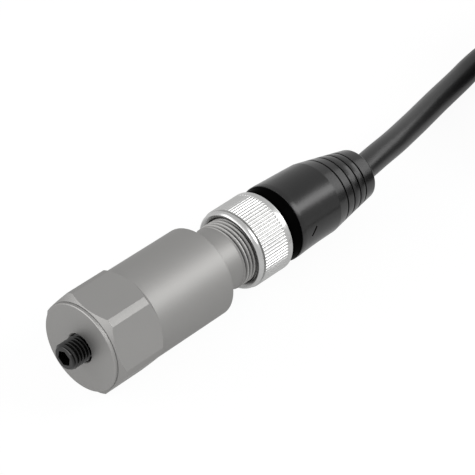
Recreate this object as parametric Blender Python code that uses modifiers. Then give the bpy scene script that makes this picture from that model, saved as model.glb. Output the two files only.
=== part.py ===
"""Vibration sensor with its mated M12 cable plug and two metres of cable.

Metres, +Z up. The sensor lies on one flat of its hexagon with its axis along +Y, the
mounting face towards -Y. The origin is on the surface under the middle of the length.
Outlines of turned pieces are (radius, station) pairs, with stations measured along the
axis from the mounting face.
"""

import math

import bmesh
import bpy
from mathutils import Matrix, Vector

# Housing. The hexagon is what is left of the bar that the round body is turned from.
BODY_DIAMETER = 0.0164
FLATS_OVER_BODY = 0.0001
CORNERS_OVER_FLATS = 0.0018
FACE_UNDER_FLATS = 0.0003
HEX_LENGTH = 0.0107
HEX_FRONT_CHAMFER = 0.00085
HEX_REAR_CHAMFER = 0.0010
BODY_LENGTH = 0.0169
BODY_WALL = 0.0015
BODY_EDGE = 0.00025
SHOULDER_WALL = 0.0010
NECK_DIAMETER = 0.0115
NECK_LENGTH = 0.0050
NECK_WALL = 0.00105
NOSE_DIAMETER = 0.0119
NOSE_LENGTH = 0.0080
NOSE_PITCH = 0.0010
NOSE_WALL = 0.0016
NOSE_THREAD_DEPTH = 0.00053

# Base plate and mounting stud.
RIM_HEIGHT = 0.0006
RIM_BEVEL = 0.00014
RIM_MARGIN = 0.0001
PLATE_THICKNESS = 0.0040
PEDESTAL_DIAMETER = 0.0092
PEDESTAL_HEIGHT = 0.0070
STUD_DIAMETER = 0.0049
STUD_PITCH = 0.0008
STUD_THREAD_DEPTH = 0.00043
STUD_PROJECTION = 0.0035
STUD_ENGAGEMENT = 0.0065
STUD_SOCKET_ACROSS_FLATS = 0.0025
STUD_SOCKET_DEPTH = 0.0025
STUD_CHAMFER = 0.0004
STUD_HOLE_CHAMFER = 0.00025

# Sensing stack, bolted to the pedestal.
INSULATOR_THICKNESS = 0.0006
PIEZO_THICKNESS = 0.0015
PIEZO_MARGIN = 0.0005
ELECTRODE_THICKNESS = 0.00025
MASS_CLEARANCE = 0.0015
BOLT_DIAMETER = 0.0030
BOLT_HEAD_DIAMETER = 0.0055
BOLT_HEAD_HEIGHT = 0.00275
BOLT_SOCKET_ACROSS_FLATS = 0.0025
BOLT_SOCKET_DEPTH = 0.0014
BOLT_ENGAGEMENT = 0.0032
STACK_BORE_CLEARANCE = 0.00025
LEAD_DIAMETER = 0.0007

# Circuit board and the sensor's half of the connector.
BOARD_THICKNESS = 0.0012
BOARD_SETBACK = 0.0012
BOARD_ROOM = 0.0013
CHIP_LENGTH = 0.0026
CHIP_WIDTH = 0.0032
CHIP_HEIGHT = 0.00105
INSERT_LENGTH = 0.0043
INSERT_SEAT = 0.0009
PIN_COUNT = 4
PIN_DIAMETER = 0.0010
PIN_RECESS = 0.0006

# Cable plug.
SEAL_SECTION = 0.0010
FLANGE_THICKNESS = 0.0005
FLANGE_OVERLAP = 0.0005
NUT_LENGTH = 0.0080
NUT_WALL = 0.00135
NUT_SHOULDER = 0.0004
NUT_FRONT_RING = 0.0013
NUT_REAR_LIP = 0.0010
NUT_GROOVE_WIDTH = 0.00022
NUT_GROOVE_DEPTH = 0.0005
NUT_MOUTH_CHAMFER = 0.00065
KNURL_COUNT = 76
KNURL_DEPTH = 0.00024
CARRIER_FRONT_GAP = 0.0011
CONTACT_EDGE = 0.00135
SOCKET_DIAMETER = 0.0017
SOCKET_BORE = 0.0013
SOCKET_DEPTH = 0.0072
SOCKET_TAIL = 0.0015
COLLAR_DIAMETER = 0.0140
COLLAR_LENGTH = 0.0026
CARRIER_TAIL = 0.0035
CARRIER_TAIL_DIAMETER = 0.0100
OVERMOULD_DIAMETER = 0.0144
OVERMOULD_LENGTH = 0.0220
OVERMOULD_WAIST = 0.0138
TAIL_LENGTH = 0.0116
TAIL_WALL = 0.0021
JOINT_CHAMBER = 0.0021
RELIEF_GROOVES = 4
RELIEF_PITCH = 0.0020
RELIEF_WIDTH = 0.00035
RELIEF_DEPTH = 0.0005
RELIEF_START = 0.0025
SAG = 0.0006

# Cable.
CABLE_DIAMETER = 0.0049
COIL_MEAN_RADIUS = 0.0260
COIL_COLUMNS = 3
COIL_LAYERS = 4
TIE_WIDTH = 0.0036
TIE_THICKNESS = 0.0009
TIE_HEAD = 0.0050
CORE_DIAMETER = 0.00125
FERRULE_DIAMETER = 0.0022
FERRULE_COLLAR = 0.0035
FERRULE_PIN = 0.0060

# Clearances.
SEAT_GAP = 0.00005
FIT_GAP = 0.0001
THREAD_GAP = 0.00015
SLIDE_GAP = 0.00025
CORD_GAP = 0.0003

# Facets round a full turn.
BODY_STEPS = 36
PLUG_STEPS = 32
NUT_STEPS = 48
STUD_STEPS = 16
SMALL_STEPS = 16
WIRE_STEPS = 8

# Stations along the axis.
HOUSING_FACE = RIM_HEIGHT + SEAT_GAP
SHOULDER = HEX_LENGTH + BODY_LENGTH
NECK_END = SHOULDER + NECK_LENGTH
NOSE_END = NECK_END + NOSE_LENGTH
CAVITY_END = SHOULDER - SHOULDER_WALL
PEDESTAL_END = PLATE_THICKNESS + PEDESTAL_HEIGHT
INSERT_STOP = NECK_END + INSERT_SEAT
BOARD_REAR = CAVITY_END - BOARD_SETBACK
BOARD_FRONT = BOARD_REAR - BOARD_THICKNESS
INSERT_FRONT = INSERT_STOP - 2 * FIT_GAP
CARRIER_FRONT = INSERT_FRONT + CARRIER_FRONT_GAP
SEAL_STATION = NOSE_END + THREAD_GAP + SEAL_SECTION / 2
FLANGE_FRONT = SEAL_STATION + SEAL_SECTION / 2 + THREAD_GAP
FLANGE_REAR = FLANGE_FRONT + FLANGE_THICKNESS
NUT_SEAT = FLANGE_REAR + CORD_GAP
NUT_REAR = NUT_SEAT + NUT_SHOULDER
NUT_FRONT = NUT_REAR - NUT_LENGTH
COLLAR_FRONT = NUT_REAR + CORD_GAP
COLLAR_REAR = COLLAR_FRONT + COLLAR_LENGTH
CARRIER_REAR = COLLAR_REAR + CARRIER_TAIL
OVERMOULD_FRONT = COLLAR_REAR + FIT_GAP
OVERMOULD_END = OVERMOULD_FRONT + OVERMOULD_LENGTH
TAIL_START = OVERMOULD_END - TAIL_LENGTH
CHAMBER_END = CARRIER_REAR + JOINT_CHAMBER

# Diameters and radii that follow from the sizes above.
HEX_ACROSS_FLATS = BODY_DIAMETER + FLATS_OVER_BODY
HEX_CORNER_DIAMETER = HEX_ACROSS_FLATS + CORNERS_OVER_FLATS
FACE_DIAMETER = HEX_ACROSS_FLATS - FACE_UNDER_FLATS
CAVITY_RADIUS = BODY_DIAMETER / 2 - BODY_WALL
NECK_BORE_RADIUS = NECK_DIAMETER / 2 - NECK_WALL
NOSE_BORE_RADIUS = NOSE_DIAMETER / 2 - NOSE_WALL
STACK_BORE_RADIUS = BOLT_DIAMETER / 2 + STACK_BORE_CLEARANCE
CARRIER_RADIUS = NOSE_BORE_RADIUS - SLIDE_GAP
CONTACT_CIRCLE = CARRIER_RADIUS - CONTACT_EDGE
PIN_HOLE_RADIUS = PIN_DIAMETER / 2 + FIT_GAP
SOCKET_HOLE_RADIUS = SOCKET_DIAMETER / 2 + FIT_GAP
SEAL_RADIUS = CARRIER_RADIUS + THREAD_GAP + SEAL_SECTION / 2
CARRIER_NECK_RADIUS = CARRIER_RADIUS + 2 * FIT_GAP
NUT_BORE_RADIUS = NOSE_DIAMETER / 2 + THREAD_GAP
NUT_SEAT_RADIUS = CARRIER_NECK_RADIUS + 4 * FIT_GAP
FLANGE_RADIUS = NUT_SEAT_RADIUS + FLANGE_OVERLAP
NUT_RADIUS = NUT_BORE_RADIUS + NUT_WALL
CABLE_RADIUS = CABLE_DIAMETER / 2
CABLE_BORE_RADIUS = CABLE_RADIUS + CORD_GAP
TAIL_RADIUS = CABLE_BORE_RADIUS + TAIL_WALL

# The overmould hangs a little towards this side of its axis, in the axis empties' frame.
SAG_SIDE = Vector((0.829, 0.559, 0.0))
SAG_START = CARRIER_REAR + 0.0015

# Middle of the length and height of the axis above the surface.
MIDDLE = (OVERMOULD_END - STUD_PROJECTION) / 2
AXIS_HEIGHT = HEX_ACROSS_FLATS / 2

# Cable route, in metres from the centre of the mounting face, with the object's axes.
COIL_CENTRE = (0.0215, 0.1390)
COIL_BOTTOM = -0.00705
CABLE_ROUTE = [
    (0.00000, 0.0522, 0.00000),
    (0.00010, 0.0570, -0.00007),
    (0.00026, 0.0620, -0.00017),
    (0.00047, 0.0681, -0.00033),
    (0.00020, 0.0710, -0.00050),
    (-0.00066, 0.0759, -0.00100),
    (-0.00175, 0.0819, -0.00185),
    (-0.00304, 0.0874, -0.00280),
    (-0.00413, 0.0918, -0.00360),
    (-0.00540, 0.0969, -0.00440),
    (-0.00660, 0.1019, -0.00510),
    (-0.00760, 0.1067, -0.00560),
    (-0.00840, 0.1113, -0.00575),
    (-0.00900, 0.1156, -0.00540),
    (-0.00932, 0.1208, -0.00490),
]
TAIL_ROUTE = [
    (0.0524, 0.1208, -0.0002),
    (0.0520, 0.1100, -0.0030),
    (0.0512, 0.1000, -0.0053),
    (0.0500, 0.0920, -0.00575),
    (0.0500, 0.0880, -0.00575),
]
CORES = [
    ("brown", (0.0485, -0.0049), 0.0440, 0.0665, (0.16, 0.07, 0.03)),
    ("white", (0.0497, -0.0069), 0.0480, 0.0640, (0.80, 0.80, 0.78)),
    ("blue", (0.0512, -0.0052), 0.0555, 0.0670, (0.03, 0.10, 0.36)),
    ("black", (0.0500, -0.0037), 0.0518, 0.0650, (0.02, 0.02, 0.02)),
]
CORE_HEIGHT = -0.0070


def clear_scene():
    for old in list(bpy.data.objects):
        bpy.data.objects.remove(old)


def new_collection(name):
    collection = bpy.data.collections.new(name)
    bpy.context.scene.collection.children.link(collection)
    return collection


def material(name, color, roughness, metallic=0.0):
    made = bpy.data.materials.new(name)
    made.use_nodes = True
    shader = made.node_tree.nodes["Principled BSDF"]
    shader.inputs["Base Color"].default_value = (*color, 1.0)
    shader.inputs["Roughness"].default_value = roughness
    shader.inputs["Metallic"].default_value = metallic
    made.diffuse_color = (*color, 1.0)
    return made


def empty(name, parent=None, location=(0, 0, 0), turn=0.0):
    made = bpy.data.objects.new(name, None)
    made.empty_display_size = 0.01
    made.location = location
    made.rotation_euler = (turn, 0, 0)
    made.parent = parent
    parts.objects.link(made)
    return made


def add(name, data, parent, collection=None):
    made = bpy.data.objects.new(name, data)
    made.parent = parent
    (collection or parts).objects.link(made)
    if collection is cutters:
        made.hide_render = True
        made.display_type = "WIRE"
    return made


def from_bmesh(name, build, parent, collection=None):
    mesh = bpy.data.meshes.new(name)
    build.to_mesh(mesh)
    build.free()
    return add(name, mesh, parent, collection)


def turned(name, outline, steps, parent, collection=None):
    """A turned solid. The outline is open when it starts and ends on the axis."""
    doubled_area = sum(
        a[0] * b[1] - b[0] * a[1] for a, b in zip(outline, outline[1:] + outline[:1])
    )
    if doubled_area > 0:
        outline = outline[::-1]
    build = bmesh.new()
    corners = [build.verts.new((radius, 0, station)) for radius, station in outline]
    for first, second in zip(corners, corners[1:]):
        build.edges.new((first, second))
    if outline[0][0] > 0:
        build.edges.new((corners[-1], corners[0]))
    made = from_bmesh(name, build, parent, collection)
    screw = made.modifiers.new("turn", "SCREW")
    screw.axis = "Z"
    screw.steps = steps
    screw.render_steps = steps
    screw.use_merge_vertices = True
    screw.merge_threshold = 1e-6
    return made


def rod(name, radius, low, high, steps, parent, at=(0, 0), collection=None):
    build = bmesh.new()
    bmesh.ops.create_cone(
        build, cap_ends=True, segments=steps, radius1=radius, radius2=radius,
        depth=high - low, matrix=Matrix.Translation((*at, (low + high) / 2)),
    )
    return from_bmesh(name, build, parent, collection)


def block(name, size, centre, parent, collection=None):
    build = bmesh.new()
    place = Matrix.Translation(centre) @ Matrix.Diagonal((*size, 1.0))
    bmesh.ops.create_cube(build, size=1.0, matrix=place)
    return from_bmesh(name, build, parent, collection)


def hexagon_socket(name, across_flats, low, high, parent):
    corner_radius = across_flats / 2 / math.cos(math.radians(30))
    return rod(name, corner_radius, low, high, 6, parent, collection=cutters)


def thread_groove(name, diameter, pitch, depth, low, high, steps, parent):
    """Right-hand helical groove cutter with 30 degree flanks, running past the bar."""
    margin = 0.1 * depth
    root_half = 0.09 * pitch
    mouth_half = root_half + (depth + margin) * math.tan(math.radians(30))
    inner = diameter / 2 - depth
    outer = diameter / 2 + margin
    section = [
        (inner, low - root_half), (inner, low + root_half),
        (outer, low + mouth_half), (outer, low - mouth_half),
    ]
    build = bmesh.new()
    corners = [build.verts.new((radius, 0, station)) for radius, station in section]
    start = build.faces.new(corners)
    count = round(steps * (high - low) / pitch)
    bmesh.ops.spin(
        build, geom=[start, *start.edges, *start.verts], cent=(0, 0, 0), axis=(0, 0, 1),
        dvec=(0, 0, pitch / steps), angle=2 * math.pi * count / steps, steps=count,
    )
    bmesh.ops.holes_fill(build, edges=[e for e in build.edges if e.is_boundary], sides=4)
    bmesh.ops.recalc_face_normals(build, faces=build.faces)
    return from_bmesh(name, build, parent, cutters)


def knurled_band(name, crest, depth, low, high, count, parent):
    """A band of straight teeth: every other point of its rim is drawn in."""
    build = bmesh.new()
    bmesh.ops.create_cone(
        build, cap_ends=True, segments=2 * count, radius1=crest, radius2=crest,
        depth=high - low, matrix=Matrix.Translation((0, 0, (low + high) / 2)),
    )
    for vert in build.verts:
        index = round(math.atan2(vert.co.y, vert.co.x) / (2 * math.pi) * 2 * count)
        if index % 2 == 0:
            vert.co.xy *= (crest - depth) / crest
    return from_bmesh(name, build, parent, cutters)


def boolean(target, tool, operation):
    change = target.modifiers.new(tool.name, "BOOLEAN")
    change.operation = operation
    change.solver = "EXACT"
    change.object = tool


def smooth_route(points, spacing):
    """Evenly spaced points on a Catmull-Rom curve through the given ones."""
    given = [Vector(point) for point in points]
    given = [2 * given[0] - given[1], *given, 2 * given[-1] - given[-2]]
    fine = []
    for p0, p1, p2, p3 in zip(given, given[1:], given[2:], given[3:]):
        for step in range(20):
            t = step / 20
            fine.append(
                0.5 * (2 * p1 + (p2 - p0) * t + (2 * p0 - 5 * p1 + 4 * p2 - p3) * t**2
                       + (3 * p1 - p0 - 3 * p2 + p3) * t**3)
            )
    fine.append(given[-2])
    lengths = [0.0]
    for first, second in zip(fine, fine[1:]):
        lengths.append(lengths[-1] + (second - first).length)
    count = max(2, round(lengths[-1] / spacing))
    route = []
    place = 0
    for index in range(count + 1):
        wanted = lengths[-1] * index / count
        while place < len(fine) - 2 and lengths[place + 1] < wanted:
            place += 1
        part = (wanted - lengths[place]) / (lengths[place + 1] - lengths[place])
        route.append(fine[place].lerp(fine[place + 1], part))
    return route


def wire(name, points, diameter, parent, resolution=2):
    curve = bpy.data.curves.new(name, "CURVE")
    curve.dimensions = "3D"
    curve.bevel_depth = diameter / 2
    curve.bevel_resolution = resolution
    curve.use_fill_caps = True
    spline = curve.splines.new("POLY")
    spline.points.add(len(points) - 1)
    for knot, point in zip(spline.points, points):
        knot.co = (*point, 1.0)
    return add(name, curve, parent)


def rounded_rectangle(low, high, radius, segments=5):
    """Corner-rounded outline between two opposite corners, counter-clockwise."""
    centres = [
        (high[0] - radius, high[1] - radius), (low[0] + radius, high[1] - radius),
        (low[0] + radius, low[1] + radius), (high[0] - radius, low[1] + radius),
    ]
    outline = []
    for quarter, (x, y) in enumerate(centres):
        for step in range(segments + 1):
            angle = math.pi / 2 * (quarter + step / segments)
            outline.append((x + radius * math.cos(angle), y + radius * math.sin(angle)))
    return outline


def flat_shape(name, outlines, thickness, parent):
    """A plate cut from closed outlines in the local XY plane; inner ones are holes."""
    curve = bpy.data.curves.new(name, "CURVE")
    curve.dimensions = "2D"
    curve.fill_mode = "BOTH"
    curve.extrude = thickness / 2
    for outline in outlines:
        spline = curve.splines.new("POLY")
        spline.points.add(len(outline) - 1)
        spline.use_cyclic_u = True
        for knot, (x, y) in zip(spline.points, outline):
            knot.co = (x, y, 0.0, 1.0)
    return add(name, curve, parent)


def bake(obj, look, shape=None):
    """Applies the modifiers, bends the mesh by shape if given, and shades it."""
    graph = bpy.context.evaluated_depsgraph_get()
    mesh = bpy.data.meshes.new_from_object(obj.evaluated_get(graph))
    mesh.name = obj.name
    obj.modifiers.clear()
    obj.data = mesh
    if shape:
        for vert in mesh.vertices:
            vert.co = shape(vert.co)
    mesh.shade_smooth()
    mesh.set_sharp_from_angle(angle=math.radians(28))
    mesh.materials.clear()
    mesh.materials.append(look)
    return obj


def colour(obj, look):
    obj.data.materials.clear()
    obj.data.materials.append(look)
    return obj


def round_the_axis(count, radius):
    for index in range(count):
        angle = 2 * math.pi * (index + 0.5) / count
        yield radius * math.cos(angle), radius * math.sin(angle)


def sagging(point):
    """The overmould droops more and more towards its tail."""
    past = max(0.0, (point.z - SAG_START) / (OVERMOULD_END - SAG_START))
    return point + SAG_SIDE * SAG * past**1.5


def build_housing(axis):
    chamfer = FACE_DIAMETER / 2
    corner = HEX_CORNER_DIAMETER / 2
    body = BODY_DIAMETER / 2
    nose = NOSE_DIAMETER / 2
    lead_in = 0.0004
    housing = turned("housing", [
        (CAVITY_RADIUS, HOUSING_FACE),
        (chamfer, HOUSING_FACE),
        (corner, HOUSING_FACE + HEX_FRONT_CHAMFER),
        (corner, HEX_LENGTH - HEX_REAR_CHAMFER),
        (body, HEX_LENGTH),
        (body, SHOULDER - BODY_EDGE),
        (body - 0.3 * BODY_EDGE, SHOULDER - 0.3 * BODY_EDGE),
        (body - BODY_EDGE, SHOULDER),
        (NECK_DIAMETER / 2, SHOULDER),
        (NECK_DIAMETER / 2, NECK_END),
        (nose, NECK_END + lead_in / 2),
        (nose, NOSE_END - lead_in),
        (nose - lead_in, NOSE_END),
        (NOSE_BORE_RADIUS, NOSE_END),
        (NOSE_BORE_RADIUS, INSERT_STOP),
        (NECK_BORE_RADIUS, INSERT_STOP),
        (NECK_BORE_RADIUS, CAVITY_END),
        (CAVITY_RADIUS, CAVITY_END),
    ], BODY_STEPS, axis)
    flats = HEX_ACROSS_FLATS / 2 / math.cos(math.radians(30))
    outside = max(corner, flats) + 0.002
    hexagon = turned("hexagon_cutter", [
        (flats, -0.001), (outside, -0.001),
        (outside, HEX_LENGTH + 0.0003), (flats, HEX_LENGTH + 0.0003),
    ], 6, axis, cutters)
    groove = thread_groove(
        "nose_thread_cutter", NOSE_DIAMETER, NOSE_PITCH, NOSE_THREAD_DEPTH,
        NECK_END + 0.6 * NOSE_PITCH, NOSE_END + NOSE_PITCH, BODY_STEPS // 2, axis,
    )
    boolean(housing, hexagon, "DIFFERENCE")
    boolean(housing, groove, "DIFFERENCE")
    return bake(housing, steel)


def build_base(axis):
    rim = FACE_DIAMETER / 2 - RIM_MARGIN
    plate = CAVITY_RADIUS - FIT_GAP
    pedestal = PEDESTAL_DIAMETER / 2
    stud_hole = STUD_DIAMETER / 2 + THREAD_GAP
    stud_floor = STUD_ENGAGEMENT + CORD_GAP
    bolt_hole = BOLT_DIAMETER / 2 + FIT_GAP
    bolt_floor = PEDESTAL_END - BOLT_ENGAGEMENT - 2 * FIT_GAP
    base = turned("base_plate", [
        (0, bolt_floor), (bolt_hole, bolt_floor), (bolt_hole, PEDESTAL_END),
        (pedestal, PEDESTAL_END), (pedestal, PLATE_THICKNESS), (plate, PLATE_THICKNESS),
        (plate, RIM_HEIGHT), (rim, RIM_HEIGHT), (rim, RIM_BEVEL), (rim - RIM_BEVEL, 0),
        (stud_hole + STUD_HOLE_CHAMFER, 0), (stud_hole, STUD_HOLE_CHAMFER), (stud_hole, stud_floor),
        (0, stud_floor),
    ], BODY_STEPS, axis)
    bake(base, steel)

    shank = STUD_DIAMETER / 2
    stud = turned("mounting_stud", [
        (0, STUD_ENGAGEMENT), (shank - STUD_CHAMFER, STUD_ENGAGEMENT),
        (shank, STUD_ENGAGEMENT - STUD_CHAMFER), (shank, -STUD_PROJECTION + STUD_CHAMFER),
        (shank - STUD_CHAMFER, -STUD_PROJECTION), (0, -STUD_PROJECTION),
    ], STUD_STEPS, axis)
    groove = thread_groove(
        "stud_thread_cutter", STUD_DIAMETER, STUD_PITCH, STUD_THREAD_DEPTH,
        -STUD_PROJECTION - STUD_PITCH, STUD_ENGAGEMENT + STUD_PITCH, STUD_STEPS, axis,
    )
    socket = hexagon_socket(
        "stud_socket_cutter", STUD_SOCKET_ACROSS_FLATS,
        -STUD_PROJECTION - 0.001, -STUD_PROJECTION + STUD_SOCKET_DEPTH, axis,
    )
    boolean(stud, groove, "DIFFERENCE")
    boolean(stud, socket, "DIFFERENCE")
    bake(stud, dark_steel)


def washer(name, inner, outer, low, high, parent):
    return turned(
        name, [(inner, low), (outer, low), (outer, high), (inner, high)], SMALL_STEPS, parent
    )


def build_stack(axis):
    ring = PEDESTAL_DIAMETER / 2 - PIEZO_MARGIN
    disc = ring + FIT_GAP
    low = PEDESTAL_END + SEAT_GAP
    high = low + INSULATOR_THICKNESS
    bake(washer("insulator", STACK_BORE_RADIUS, disc + FIT_GAP, low, high, axis), ceramic)
    low = high + SEAT_GAP
    high = low + PIEZO_THICKNESS
    bake(washer("piezo_ring_front", STACK_BORE_RADIUS, ring, low, high, axis), piezo)
    low = high + SEAT_GAP
    high = low + ELECTRODE_THICKNESS
    electrode = washer("electrode", STACK_BORE_RADIUS, disc, low, high, axis)
    lead_radius = LEAD_DIAMETER / 2
    lead_place = CAVITY_RADIUS - 0.0004 - lead_radius
    tab_middle = (low + high) / 2
    tab = block(
        "electrode_tab", (lead_place + lead_radius - ring / 2, 0.0016, 0.7 * ELECTRODE_THICKNESS),
        ((lead_place + lead_radius + ring / 2) / 2, 0, tab_middle), axis, cutters,
    )
    boolean(electrode, tab, "UNION")
    hole = rod(
        "electrode_bore", STACK_BORE_RADIUS, low - 0.001, high + 0.001, SMALL_STEPS, axis,
        collection=cutters,
    )
    boolean(electrode, hole, "DIFFERENCE")
    bake(electrode, copper)
    bake(rod("signal_lead", lead_radius, high + CORD_GAP, BOARD_FRONT - CORD_GAP, WIRE_STEPS,
             axis, at=(lead_place, 0)), copper)
    low = high + SEAT_GAP
    high = low + PIEZO_THICKNESS
    bake(washer("piezo_ring_rear", STACK_BORE_RADIUS, ring, low, high, axis), piezo)
    low = high + SEAT_GAP
    head_front = BOARD_FRONT - BOARD_ROOM - BOLT_HEAD_HEIGHT
    high = head_front - SEAT_GAP
    mass = CAVITY_RADIUS - MASS_CLEARANCE
    bevel = 0.0002
    bake(turned("seismic_mass", [
        (STACK_BORE_RADIUS, low), (mass - bevel, low), (mass, low + bevel),
        (mass, high - bevel), (mass - bevel, high), (STACK_BORE_RADIUS, high),
    ], SMALL_STEPS, axis), tungsten)

    shank = BOLT_DIAMETER / 2
    head = BOLT_HEAD_DIAMETER / 2
    head_rear = head_front + BOLT_HEAD_HEIGHT
    tip = PEDESTAL_END - BOLT_ENGAGEMENT
    bolt = turned("preload_bolt", [
        (0, tip), (shank - bevel, tip), (shank, tip + bevel), (shank, head_front),
        (head, head_front), (head, head_rear - bevel), (head - bevel, head_rear),
        (0, head_rear),
    ], SMALL_STEPS, axis)
    socket = hexagon_socket(
        "bolt_socket_cutter", BOLT_SOCKET_ACROSS_FLATS,
        head_rear - BOLT_SOCKET_DEPTH, head_rear + 0.001, axis,
    )
    boolean(bolt, socket, "DIFFERENCE")
    bake(bolt, dark_steel)


def build_connector(axis):
    bake(rod("circuit_board", CAVITY_RADIUS - CORD_GAP, BOARD_FRONT, BOARD_REAR, SMALL_STEPS,
             axis), laminate)
    chip_rear = BOARD_FRONT - SEAT_GAP
    chip_place = CAVITY_RADIUS - 0.0012 - CHIP_LENGTH / 2
    bake(block("amplifier_chip", (CHIP_LENGTH, CHIP_WIDTH, CHIP_HEIGHT),
               (-chip_place, 0, chip_rear - CHIP_HEIGHT / 2), axis), black_plastic)
    insert = rod(
        "connector_insert", NECK_BORE_RADIUS - FIT_GAP, INSERT_FRONT - INSERT_LENGTH,
        INSERT_FRONT, SMALL_STEPS, axis,
    )
    pin = PIN_DIAMETER / 2
    pin_low = BOARD_REAR + CORD_GAP
    pin_high = NOSE_END - PIN_RECESS
    for number, (x, y) in enumerate(round_the_axis(PIN_COUNT, CONTACT_CIRCLE), 1):
        hole = rod(
            f"pin_hole_{number}", PIN_HOLE_RADIUS, INSERT_FRONT - INSERT_LENGTH - 0.001,
            INSERT_FRONT + 0.001, WIRE_STEPS, axis, (x, y), cutters,
        )
        boolean(insert, hole, "DIFFERENCE")
        contact = turned(f"contact_pin_{number}", [
            (0, pin_low), (pin, pin_low), (pin, pin_high - pin),
            (0.6 * pin, pin_high - 0.2 * pin), (0, pin_high),
        ], WIRE_STEPS, axis)
        contact.location = (x, y, 0)
        bake(contact, gold)
    bake(insert, black_plastic)


def build_plug(axis):
    collar = COLLAR_DIAMETER / 2
    bevel = 0.0002
    carrier = turned("contact_carrier", [
        (0, CARRIER_REAR), (CARRIER_TAIL_DIAMETER / 2, CARRIER_REAR),
        (CARRIER_TAIL_DIAMETER / 2, COLLAR_REAR), (collar, COLLAR_REAR),
        (collar, COLLAR_FRONT + 0.0010), (collar - 0.00015, COLLAR_FRONT + 0.0004),
        (collar - 0.0007, COLLAR_FRONT), (CARRIER_NECK_RADIUS, COLLAR_FRONT),
        (CARRIER_NECK_RADIUS, FLANGE_REAR), (FLANGE_RADIUS, FLANGE_REAR),
        (FLANGE_RADIUS, FLANGE_FRONT), (CARRIER_RADIUS, FLANGE_FRONT),
        (CARRIER_RADIUS, CARRIER_FRONT + bevel), (CARRIER_RADIUS - bevel, CARRIER_FRONT),
        (0, CARRIER_FRONT),
    ], PLUG_STEPS, axis)
    socket = SOCKET_DIAMETER / 2
    bore = SOCKET_BORE / 2
    mouth = CARRIER_FRONT + 0.0004
    tail = CARRIER_REAR + SOCKET_TAIL
    for number, (x, y) in enumerate(round_the_axis(PIN_COUNT, CONTACT_CIRCLE), 1):
        hole = rod(
            f"socket_hole_{number}", SOCKET_HOLE_RADIUS, CARRIER_FRONT - 0.001,
            CARRIER_REAR + 0.001, WIRE_STEPS, axis, (x, y), cutters,
        )
        boolean(carrier, hole, "DIFFERENCE")
        contact = turned(f"socket_contact_{number}", [
            (0, tail), (socket, tail), (socket, mouth), (bore, mouth),
            (bore, mouth + SOCKET_DEPTH), (0, mouth + SOCKET_DEPTH),
        ], WIRE_STEPS, axis)
        contact.location = (x, y, 0)
        bake(contact, gold)
    bake(carrier, gloss_black)

    section = [
        (SEAL_RADIUS + SEAL_SECTION / 2 * math.cos(math.radians(45 * k)),
         SEAL_STATION + SEAL_SECTION / 2 * math.sin(math.radians(45 * k)))
        for k in range(8)
    ]
    bake(turned("plug_seal", section, SMALL_STEPS, axis), rubber)


def relief_outline(start, start_radius, end, end_radius):
    """The tapering tail, with narrow square grooves cut across it."""
    def radius_at(station):
        return start_radius + (end_radius - start_radius) * (station - start) / (end - start)

    outline = [(start_radius, start)]
    for index in range(RELIEF_GROOVES):
        low = start + RELIEF_START + index * RELIEF_PITCH - RELIEF_WIDTH / 2
        high = low + RELIEF_WIDTH
        outline += [
            (radius_at(low), low), (radius_at(low) - RELIEF_DEPTH, low),
            (radius_at(high) - RELIEF_DEPTH, high), (radius_at(high), high),
        ]
    return [*outline, (end_radius, end)]


def build_overmould(axis):
    grip = OVERMOULD_DIAMETER / 2
    waist = OVERMOULD_WAIST / 2
    chamber = CARRIER_TAIL_DIAMETER / 2 + 2 * FIT_GAP
    bend = TAIL_START - OVERMOULD_FRONT
    rounding = 0.0004
    overmould = turned("overmould", [
        (chamber, OVERMOULD_FRONT),
        (grip - 0.00025, OVERMOULD_FRONT),
        (grip, OVERMOULD_FRONT + 0.00025),
        (grip, OVERMOULD_FRONT + 0.1 * bend),
        (grip + 0.3 * (waist - grip), OVERMOULD_FRONT + 0.31 * bend),
        (grip + 0.68 * (waist - grip), OVERMOULD_FRONT + 0.78 * bend),
        *relief_outline(TAIL_START, waist, OVERMOULD_END - rounding, TAIL_RADIUS),
        (TAIL_RADIUS - 0.3 * rounding, OVERMOULD_END - 0.3 * rounding),
        (TAIL_RADIUS - rounding, OVERMOULD_END),
        (CABLE_BORE_RADIUS, OVERMOULD_END),
        (CABLE_BORE_RADIUS, CHAMBER_END),
        (chamber, CHAMBER_END),
    ], PLUG_STEPS, axis)
    bake(overmould, soft_black, sagging)


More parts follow.
